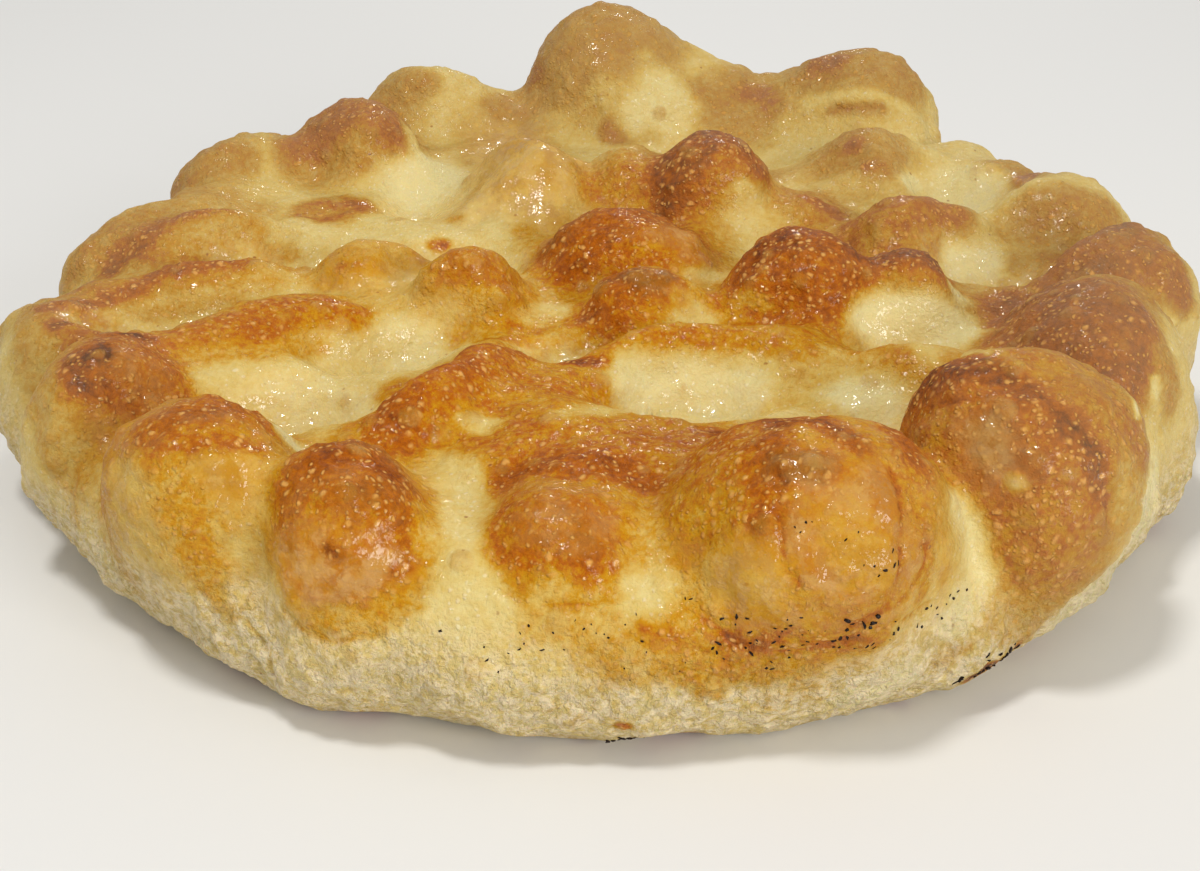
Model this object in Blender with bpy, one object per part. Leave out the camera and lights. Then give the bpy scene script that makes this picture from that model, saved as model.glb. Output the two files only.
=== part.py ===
"""A round focaccia base: one puffed, hand-pressed disc of baked dough.

The dough is one solid. A round cushion, the bubbles in the crust and the ridges between the finger
dimples are first joined as plain balls. Their skin is then drawn onto one smooth form, in which
neighbours melt into each other, the dimples are pressed in and the whole is a little uneven.
The underside is flat where the bread lay on the baking stone.

Origin: the middle of the flat underside. +Z is up. Sizes below are in millimetres.
"""

import math
import random
from collections import namedtuple

import bmesh
import bpy
import numpy as np
from mathutils import Matrix, Vector

MM = 0.001

# Driving sizes of the dough
RIM_RADIUS = 119.0
DOUGH_HEIGHT = 35.0
STONE_CUT = 2.0  # how far the flat underside cuts into the rounded dough
RIM_ROUND = (DOUGH_HEIGHT + STONE_CUT) / 2  # the rim is a half round from the underside to the top
# how far the hand-pressed rim strays from a circle, every 30 degrees from +X towards +Y
RIM_STRAY = (1.0, -1.0, 0.0, 1.0, -1.0, -3.0, -4.0, -2.0, 2.0, 0.0, 3.0, -1.0)

# How the skin is made
PROFILE_STEPS = 12  # along the half round of the rim
TURN_STEPS = 96  # around the dough
BALL_DIVISIONS = 4
SKIN_STEP = 1.8
SETTLE_PASSES = 9
LONGEST_MOVE = 2.5  # of a point in one pass, so that neighbours keep their order
PROBE = 0.25  # the step that finds which way the form rises
LEAST_STEEPNESS = 0.25  # keeps a pass from jumping where the form rises little
SMOOTH_PASSES = 3
SMOOTH_SHARE = 0.5
TRIANGLE_TARGET = 10500

# Slow sideways shifts that make round bubbles uneven: wave length and reach
SHIFT_WAVES = ((62.0, 1.6), (37.0, 1.0), (23.0, 0.4))
# Lumps of the skin itself: wave length and height
LUMP_WAVES = ((31.0, 0.45), (17.0, 0.35), (11.0, 0.25))
WAVES_EACH = 3  # crossing waves of each length

# One raised place of the crust: where its middle is, how high that middle lies, half its length and
# half its width, how far it rises above the middle, how far it is turned in plan in degrees, and how
# widely it melts into its neighbours.
Bubble = namedtuple("Bubble", "x y level length width rise turn melt")

BUBBLES = {
    # the big ones along the near rim, from left to right
    "near_left": Bubble(-64, -86, 30, 17, 18, 18, 10, 5),
    "near_middle_left": Bubble(-42, -97, 28, 15, 14, 17, 80, 4),
    "near_disc": Bubble(-6, -98, 28, 13, 13, 13, 0, 5),
    "near_big": Bubble(34, -99, 31, 26, 21, 20, -5, 4),
    "near_right": Bubble(70, -81, 32, 20, 20, 22, -30, 4),
    # the right side
    "right_ridge": Bubble(93, -40, 29, 26, 17, 21, 65, 5),
    "right_rim": Bubble(104, -5, 30, 17, 16, 17, 0, 7),
    "right_far_rim": Bubble(100, 32, 30, 17, 13, 15, 0, 8),
    "right_far_bump": Bubble(91, 49, 30, 14, 11, 13, -40, 7),
    # the far rim, from right to left
    "far_right_edge": Bubble(86, 68, 26, 20, 13, 12, -45, 9),
    "far_right": Bubble(64, 98, 33, 22, 19, 21, 0, 9),
    "far_tall": Bubble(2, 108, 35, 21, 20, 27, 0, 12),
    "far_tall_slope": Bubble(25, 102, 28, 22, 18, 20, 0, 14),
    "far_left_low": Bubble(-43, 102, 32, 20, 12, 17, 0, 10),
    "far_left": Bubble(-57, 70, 32, 17, 15, 17, 0, 7),
    "far_left_rim": Bubble(-82, 63, 30, 17, 12, 14, 30, 7),
    # the left side
    "left_rim_far": Bubble(-95, 28, 27, 27, 11, 14, 55, 6),
    "left_rim_mound": Bubble(-84, 18, 30, 20, 10, 13, 30, 6),
    "left_rim_ridge": Bubble(-84, -6, 28, 32, 9, 12, 20, 6),
    "left_rim_near": Bubble(-104, -30, 22, 16, 13, 18, 100, 8),
    "left_brow": Bubble(-90, -52, 26, 16, 15, 19, 60, 5),
    "left_ridge": Bubble(-66, -28, 26, 34, 12, 15, 20, 6),
    # the middle
    "middle_dome": Bubble(6, 8, 30, 20, 17, 16, 0, 5),
    "middle_small": Bubble(9, -19, 31, 12, 11, 13, 0, 4),
    "middle_left_dome": Bubble(-26, -13, 30, 12, 11, 16, 0, 4),
    "middle_left_low": Bubble(-45, 0, 30, 12, 10, 13, 0, 4),
    "middle_right_dome": Bubble(38, -13, 30, 17, 15, 20, 0, 6),
    "middle_right_low": Bubble(60, -15, 29, 15, 13, 18, 0, 6),
    "right_mound": Bubble(69, 20, 30, 18, 12, 15, 0, 6),
    "far_dome": Bubble(27, 40, 32, 16, 17, 20, 0, 6),
    "far_dome_low": Bubble(7, 50, 30, 14, 14, 16, 0, 7),
    "far_blister": Bubble(-18, 45, 28, 18, 20, 19, 0, 6),
    "far_right_mound": Bubble(63, 60, 30, 18, 15, 16, 0, 9),
    "far_right_small": Bubble(46, 34, 29, 9, 9, 11, 0, 5),
    # the raised dough between the finger dimples
    "near_cross_left": Bubble(-27, -56, 26, 28, 11, 17, 58, 5),
    "near_cross_middle": Bubble(-3, -60, 22, 24, 14, 14, 0, 12),
    "near_cross_front": Bubble(4, -80, 22, 34, 14, 15, 0, 12),
    "middle_cross_right": Bubble(24, -36, 26, 34, 9, 14, 5, 5),
    "right_cross": Bubble(62, -42, 25, 18, 10, 15, -15, 8),
}

# One place pressed in by a finger: its middle, how high its floor lies, half its length and half its
# width at the level of the dough, and how far it is turned in plan, in degrees.
Dimple = namedtuple("Dimple", "x y floor length width turn")
DIMPLE_DEPTH = 22.0  # half the height of the ball that presses it
DIMPLE_MELT = 8.0

DIMPLES = {
    "left_of_cross": Dimple(-57, -56, 22, 19, 12, 28),
    "left_of_ridge": Dimple(-88, -24, 28, 18, 6, 20),
    "above_cross": Dimple(-40, -30, 26, 18, 8, 25),
    "middle_gap": Dimple(-8, -32, 28, 12, 6, 0),
    "middle_near": Dimple(18, -54, 22, 17, 9, 5),
    "right_near": Dimple(49, -58, 25, 14, 10, -25),
    "between_near_bubbles": Dimple(-23, -80, 26, 6, 14, 0),
    "right_middle": Dimple(60, -32, 28, 15, 7, -10),
    "right": Dimple(82, 4, 29, 16, 10, -15),
    "far_right": Dimple(82, 46, 32, 16, 10, -40),
    "behind_dome": Dimple(40, 14, 29, 12, 9, 0),
    "far_middle": Dimple(26, 74, 31, 26, 11, 0),
    "far_left_pressed": Dimple(-42, 48, 29, 11, 16, 0),
    "left": Dimple(-66, 12, 28, 18, 7, 20),
    "behind_left_domes": Dimple(-28, 12, 29, 16, 8, 0),
}


def rim_stray(angle):
    """How far the rim strays from its circle at each angle, smooth between the given places."""
    places = angle / math.tau * len(RIM_STRAY)
    before = np.floor(places).astype(int)
    share = (1 - np.cos((places - before) * math.pi)) / 2
    stray = np.array(RIM_STRAY)
    return stray[before % len(stray)] * (1 - share) + stray[(before + 1) % len(stray)] * share


def cushion_field(points):
    """How far each point lies outside the plain round dough; less than 0 inside."""
    x, y, z = points.T
    radius = np.hypot(x, y) - rim_stray(np.arctan2(y, x))
    out = np.maximum(radius - (RIM_RADIUS - RIM_ROUND), 0)
    return np.hypot(out, z - (DOUGH_HEIGHT - RIM_ROUND)) - RIM_ROUND


def ball_field(points, middle, half_sizes, turn):
    """How far each point lies outside a flattened, turned ball; less than 0 inside."""
    cos, sin = math.cos(math.radians(turn)), math.sin(math.radians(turn))
    x, y, z = (points - middle).T
    local = np.stack([cos * x + sin * y, cos * y - sin * x, z], axis=1) / half_sizes
    near = np.linalg.norm(local, axis=1)
    slope = np.linalg.norm(local / half_sizes, axis=1)
    return near * (near - 1) / np.maximum(slope, 1e-9)


def melted(first, second, melt):
    """Two fields joined, with the crease between them filled."""
    close = np.maximum(melt - np.abs(first - second), 0) / melt
    return np.minimum(first, second) - close * close * melt / 4


def waves(points, table, seed):
    """A sum of crossing waves with the lengths and heights of the table."""
    draw = random.Random(seed)
    total = np.zeros(len(points))
    for length, height in table:
        for _ in range(WAVES_EACH):
            way = Vector((draw.uniform(-1, 1), draw.uniform(-1, 1), draw.uniform(-0.6, 0.6))).normalized()
            total += height * np.sin(points @ np.array(way) * math.tau / length + draw.uniform(0, math.tau))
    return total / math.sqrt(WAVES_EACH)


def bread_field(points):
    """How far each point lies outside the finished form; less than 0 inside."""
    shifted = points.copy()
    shifted[:, 0] += waves(points, SHIFT_WAVES, seed=3)
    shifted[:, 1] += waves(points, SHIFT_WAVES, seed=8)
    field = cushion_field(shifted)
    for bubble in BUBBLES.values():
        middle = (bubble.x, bubble.y, bubble.level)
        half_sizes = (bubble.length, bubble.width, bubble.rise)
        field = melted(field, ball_field(shifted, middle, half_sizes, bubble.turn), bubble.melt)
    for dimple in DIMPLES.values():
        middle = (dimple.x, dimple.y, dimple.floor + DIMPLE_DEPTH)
        half_sizes = (dimple.length, dimple.width, DIMPLE_DEPTH)
        field = -melted(-field, ball_field(shifted, middle, half_sizes, dimple.turn), DIMPLE_MELT)
    return field + waves(points, LUMP_WAVES, seed=5)


def settled(points):
    """The points moved onto the finished form."""
    for _ in range(SETTLE_PASSES):
        field = bread_field(points)
        rise = np.stack([bread_field(points + step) - field for step in np.eye(3) * PROBE], axis=1) / PROBE
        steepness = np.maximum((rise * rise).sum(axis=1), LEAST_STEEPNESS)
        move = rise * (field / steepness)[:, None]
        length = np.linalg.norm(move, axis=1)
        points = points - move * (np.minimum(length, LONGEST_MOVE) / np.maximum(length, 1e-9))[:, None]
    points[:, 2] = np.maximum(points[:, 2], 0)
    return points


def add_cushion(shape):
    """The plain dough as a turned profile."""
    belly = DOUGH_HEIGHT - RIM_ROUND
    lowest = -math.asin(belly / RIM_ROUND)
    edge = RIM_RADIUS - RIM_ROUND
    profile = [(0.0, 0.0)]
    for step in range(PROFILE_STEPS + 1):
        angle = lowest + (math.pi / 2 - lowest) * step / PROFILE_STEPS
        profile.append((edge + RIM_ROUND * math.cos(angle), belly + RIM_ROUND * math.sin(angle)))
    profile.append((0.0, DOUGH_HEIGHT))
    points = [shape.verts.new((radius * MM, 0, height * MM)) for radius, height in profile]
    edges = [shape.edges.new(pair) for pair in zip(points, points[1:])]
    turn = {"axis": (0, 0, 1), "cent": (0, 0, 0), "angle": math.tau, "steps": TURN_STEPS}
    bmesh.ops.spin(shape, geom=points + edges, **turn)
    bmesh.ops.remove_doubles(shape, verts=shape.verts, dist=0.01 * MM)
    bmesh.ops.recalc_face_normals(shape, faces=shape.faces)


def add_bubble(shape, bubble):
    """A flattened ball for one raised place."""
    place = (
        Matrix.Translation(Vector((bubble.x, bubble.y, bubble.level)) * MM)
        @ Matrix.Rotation(math.radians(bubble.turn), 4, "Z")
        @ Matrix.Diagonal((bubble.length * MM, bubble.width * MM, bubble.rise * MM, 1.0))
    )
    bmesh.ops.create_icosphere(shape, subdivisions=BALL_DIVISIONS, radius=1.0, matrix=place)


def joined_skin(mesh):
    """The mesh's overlapping shapes as one even skin."""
    rough = bpy.data.objects.new("rough", mesh)
    bpy.context.scene.collection.objects.link(rough)
    remesh = rough.modifiers.new("one_skin", "REMESH")
    remesh.mode = "VOXEL"
    remesh.voxel_size = SKIN_STEP * MM
    bpy.context.view_layer.update()
    skin = bpy.data.meshes.new_from_object(rough.evaluated_get(bpy.context.evaluated_depsgraph_get()))
    bpy.data.objects.remove(rough)
    return skin


def bread_material():
    material = bpy.data.materials.new("baked_crust")
    material.use_nodes = True
    surface = material.node_tree.nodes["Principled BSDF"]
    surface.inputs["Base Color"].default_value = (0.60, 0.36, 0.12, 1.0)
    surface.inputs["Roughness"].default_value = 0.45
    surface.inputs["Metallic"].default_value = 0.0
    return material


def make_bread():
    shape = bmesh.new()
    add_cushion(shape)
    for bubble in BUBBLES.values():
        add_bubble(shape, bubble)
    mesh = bpy.data.meshes.new("dough")
    shape.to_mesh(mesh)
    shape.free()

    skin = joined_skin(mesh)
    skin.name = "focaccia"
    points = np.empty(3 * len(skin.vertices))
    skin.vertices.foreach_get("co", points)
    points = settled(points.reshape(-1, 3) / MM) * MM
    skin.vertices.foreach_set("co", points.ravel())
    skin.shade_smooth()
    skin.materials.clear()
    skin.materials.append(bread_material())

    bread = bpy.data.objects.new("focaccia", skin)
    bpy.context.scene.collection.objects.link(bread)
    even = bread.modifiers.new("even_out", "SMOOTH")
    even.factor = SMOOTH_SHARE
    even.iterations = SMOOTH_PASSES
    thin = bread.modifiers.new("fewer_faces", "DECIMATE")
    thin.ratio = TRIANGLE_TARGET / (2 * len(skin.polygons))
    return bread


def main():
    for old in list(bpy.data.objects):
        bpy.data.objects.remove(old)
    make_bread()


main()
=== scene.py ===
import math
import random
from collections import namedtuple

import bmesh
import bpy
import numpy as np
from mathutils import Matrix, Vector, kdtree, noise


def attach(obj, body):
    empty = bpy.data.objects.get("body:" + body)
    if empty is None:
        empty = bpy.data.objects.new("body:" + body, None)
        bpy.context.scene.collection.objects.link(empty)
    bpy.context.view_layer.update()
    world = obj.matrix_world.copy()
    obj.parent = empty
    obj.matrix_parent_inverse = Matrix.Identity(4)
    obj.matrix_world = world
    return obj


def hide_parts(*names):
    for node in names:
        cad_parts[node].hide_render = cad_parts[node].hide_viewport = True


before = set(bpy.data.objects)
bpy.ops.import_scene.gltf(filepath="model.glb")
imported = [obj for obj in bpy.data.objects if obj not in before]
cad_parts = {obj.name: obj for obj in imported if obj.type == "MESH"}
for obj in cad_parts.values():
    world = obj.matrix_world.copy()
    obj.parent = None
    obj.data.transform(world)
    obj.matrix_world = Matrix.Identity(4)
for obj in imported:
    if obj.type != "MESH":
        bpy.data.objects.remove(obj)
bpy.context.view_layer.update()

mm = 0.001

# A round focaccia base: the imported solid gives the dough, and this script gives it a fine skin,
# browned bubbles, pale finger dimples, thin glossy blisters and charred crumbs.

form = {
    "rimRadius": 119.0,
    "doughHeight": 35.0,
    "stoneCut": 2.0,
    "rimStray": (1.0, -1.0, 0.0, 1.0, -1.0, -3.0, -4.0, -2.0, 2.0, 0.0, 3.0, -1.0),  # every 30 degrees
    "shiftWaves": ((62.0, 1.6), (37.0, 1.0), (23.0, 0.4)),  # wave length and reach
    "lumpWaves": ((31.0, 0.45), (17.0, 0.35), (11.0, 0.25)),
    "wavesEach": 3,
    "dimpleDepth": 22.0,
    "dimpleMelt": 8.0,
    "skinStep": 0.85,
    "settlePasses": 4,
    "longestMove": 2.5,
    "probe": 0.2,
    "gentlest": 0.25,  # the least steepness, squared, that a move is worked out with
    "weld": 0.01,
    "knotMiss": 0.5,  # how far off its form the skin lies at a knot
    "knotShare": 4,  # one knot in so many is smoothed, with all that lies around it
    "knotReach": 5.0,
    "knotPasses": 30,
    "flatHeights": (0.9, 0.5),  # the underside is flat from the first to the second, in millimetres
    "flatRadii": (105, 102),
    "flatThinned": 0.93,
    "flatHold": 1000,
}

# One raised place of the crust, in millimetres, as the solid has it: where its middle is, how high
# that lies, half its length and width, its rise, its turn in plan, and how widely it melts into its
# neighbours. Then its baking: how brown its cap gets (0 to 1), how far the cap leans towards +X and
# +Y, how small the cap is (-1 the whole bubble, 1 nothing), and how thin and see-through its skin is.
Bubble = namedtuple(
    "Bubble", "x y level length width rise turn melt bake leanX leanY pale film", defaults=(0.1,))

bubbles = {
    # the big ones along the near rim, from left to right
    "nearLeft": Bubble(-64, -86, 30, 17, 18, 18, 10, 5, 0.52, -0.4, 1.5, -0.4, 0.5),
    "nearMiddleLeft": Bubble(-42, -97, 28, 15, 14, 17, 80, 4, 0.77, 0, -0.1, 0.5, 0.4),
    "nearDisc": Bubble(-6, -98, 28, 13, 13, 13, 0, 5, 0.53, 0, -0.1, -0.8, 0.5),
    "nearBig": Bubble(34, -99, 31, 26, 21, 20, -5, 4, 0.5, -1.2, -0.5, -0.4, 0.5),
    "nearRight": Bubble(70, -81, 32, 20, 20, 22, -30, 4, 0.57, -1.2, -0.5, -0.3, 0.3),
    # the right side
    "rightRidge": Bubble(93, -40, 29, 26, 17, 21, 65, 5, 0.72, -1.6, 0.2, 0.1),
    "rightRim": Bubble(104, -5, 30, 17, 16, 17, 0, 7, 0.78, -1.6, 0, 0),
    "rightFarRim": Bubble(100, 32, 30, 17, 13, 15, 0, 8, 0.6, 0, -2.2, 0.8),
    "rightFarBump": Bubble(91, 49, 30, 14, 11, 13, -40, 7, 0.55, 0.1, -0.5, 0.5),
    # the far rim, from right to left
    "farRightEdge": Bubble(86, 68, 26, 20, 13, 12, -45, 9, 0.1, 0, -0.1, -0.8),
    "farRight": Bubble(64, 98, 33, 22, 19, 21, 0, 9, 0.45, -0.3, 0, 0.5),
    "farTall": Bubble(2, 108, 35, 21, 20, 27, 0, 12, 0.45, -1, 0, 0.1, 0.3),
    "farTallSlope": Bubble(25, 102, 28, 22, 18, 20, 0, 14, 0.62, 1.6, -1.2, 0.8),
    "farLeftLow": Bubble(-43, 102, 32, 20, 12, 17, 0, 10, 0.55, -1.2, -0.8, 0.7),
    "farLeft": Bubble(-57, 70, 32, 17, 15, 17, 0, 7, 0.62, -1.6, 1.5, -0.3),
    "farLeftRim": Bubble(-82, 63, 30, 17, 12, 14, 30, 7, 0.5, -1.6, -0.8, 0.5),
    # the left side
    "leftRimFar": Bubble(-95, 28, 27, 27, 11, 14, 55, 6, 0.37, 0, -0.1, -0.4),
    "leftRimMound": Bubble(-84, 18, 30, 20, 10, 13, 30, 6, 0.65, -1.6, -1.8, 0.1),
    "leftRimRidge": Bubble(-84, -6, 28, 32, 9, 12, 20, 6, 0.48, 0, -0.1, -0.8),
    "leftRimNear": Bubble(-104, -30, 22, 16, 13, 18, 100, 8, 0.62, 1.4, -0.2, 0.1),
    "leftBrow": Bubble(-90, -52, 26, 16, 15, 19, 60, 5, 0.67, 1, -0.1, 0.1),
    "leftRidge": Bubble(-66, -28, 26, 34, 12, 15, 20, 6, 0.5, -0.6, 0.1, 0.1),
    # the middle
    "middleDome": Bubble(6, 8, 30, 20, 17, 16, 0, 5, 0.75, -1.2, 1.4, -0.4, 0.2),
    "middleSmall": Bubble(9, -19, 31, 12, 11, 13, 0, 4, 0.77, -0.6, -0.2, 0.5),
    "middleLeftDome": Bubble(-26, -13, 30, 12, 11, 16, 0, 4, 0.48, 1, -0.8, -0.2, 0.4),
    "middleLeftLow": Bubble(-45, 0, 30, 12, 10, 13, 0, 4, 0.45, -1.6, 0.5, -0.1, 0.8),
    "middleRightDome": Bubble(38, -13, 30, 17, 15, 20, 0, 6, 0.85, -0.3, -0.5, 0.5),
    "middleRightLow": Bubble(60, -15, 29, 15, 13, 18, 0, 6, 0.65, -0.1, 0.8, 0.2),
    "rightMound": Bubble(69, 20, 30, 18, 12, 15, 0, 6, 0.65, -1.6, -0.3, -0.1),
    "farDome": Bubble(27, 40, 32, 16, 17, 20, 0, 6, 0.82, -1.2, 0.7, 0),
    "farDomeLow": Bubble(7, 50, 30, 14, 14, 16, 0, 7, 0.6, -0.2, -1.8, 0.5),
    "farBlister": Bubble(-18, 45, 28, 18, 20, 19, 0, 6, 0.1, 0, 0.1, 0.1, 0.9),
    "farRightMound": Bubble(63, 60, 30, 18, 15, 16, 0, 9, 0.48, -0.3, -0.5, 0.5),
    "farRightSmall": Bubble(46, 34, 29, 9, 9, 11, 0, 5, 0.48, 0, -0.1, -0.8),
    # the raised dough between the finger dimples
    "nearCrossLeft": Bubble(-27, -56, 26, 28, 11, 17, 58, 5, 0.67, 0.8, -0.1, -0.1),
    "nearCrossMiddle": Bubble(-3, -60, 22, 24, 14, 14, 0, 12, 0.55, 0, -0.1, -0.8),
    "nearCrossFront": Bubble(4, -80, 22, 34, 14, 15, 0, 12, 0.83, 0, -0.1, -0.8),
    "middleCrossRight": Bubble(24, -36, 26, 34, 9, 14, 5, 5, 0.48, 0.3, 0.8, -0.1),
    "rightCross": Bubble(62, -42, 25, 18, 10, 15, -15, 8, 0.5, 0.1, -0.8, 0.6),
}

# One place pressed in by a finger, in millimetres.
Dimple = namedtuple("Dimple", "x y floor length width turn")

dimples = {
    "leftOfCross": Dimple(-57, -56, 22, 19, 12, 28),
    "leftOfRidge": Dimple(-88, -24, 28, 18, 6, 20),
    "aboveCross": Dimple(-40, -30, 26, 18, 8, 25),
    "middleGap": Dimple(-8, -32, 28, 12, 6, 0),
    "middleNear": Dimple(18, -54, 22, 17, 9, 5),
    "rightNear": Dimple(49, -58, 25, 14, 10, -25),
    "rightMiddle": Dimple(60, -32, 28, 15, 7, -10),
    "right": Dimple(82, 4, 29, 16, 10, -15),
    "farRight": Dimple(82, 46, 32, 16, 10, -40),
    "behindDome": Dimple(40, 14, 29, 12, 9, 0),
    "farMiddle": Dimple(26, 74, 31, 26, 11, 0),
    "farLeftPressed": Dimple(-42, 48, 29, 11, 16, 0),
    "left": Dimple(-66, 12, 28, 18, 7, 20),
    "behindLeftDomes": Dimple(-28, 12, 29, 16, 8, 0),
}

# One patch or band of the crust: how brown it is, how far its edge lies from its path, the path in
# millimetres, and how thin-skinned it is. Later ones lie over earlier ones. Their browning and that of
# the bubbles was set by separate fitting scripts, which also turned the paths into millimetres.
# Their levels were also nudged to even out brightness, so in places they hold painted light and shade besides
# browning.
Stain = namedtuple("Stain", "bake radius path film", defaults=(0.0,))

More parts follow.
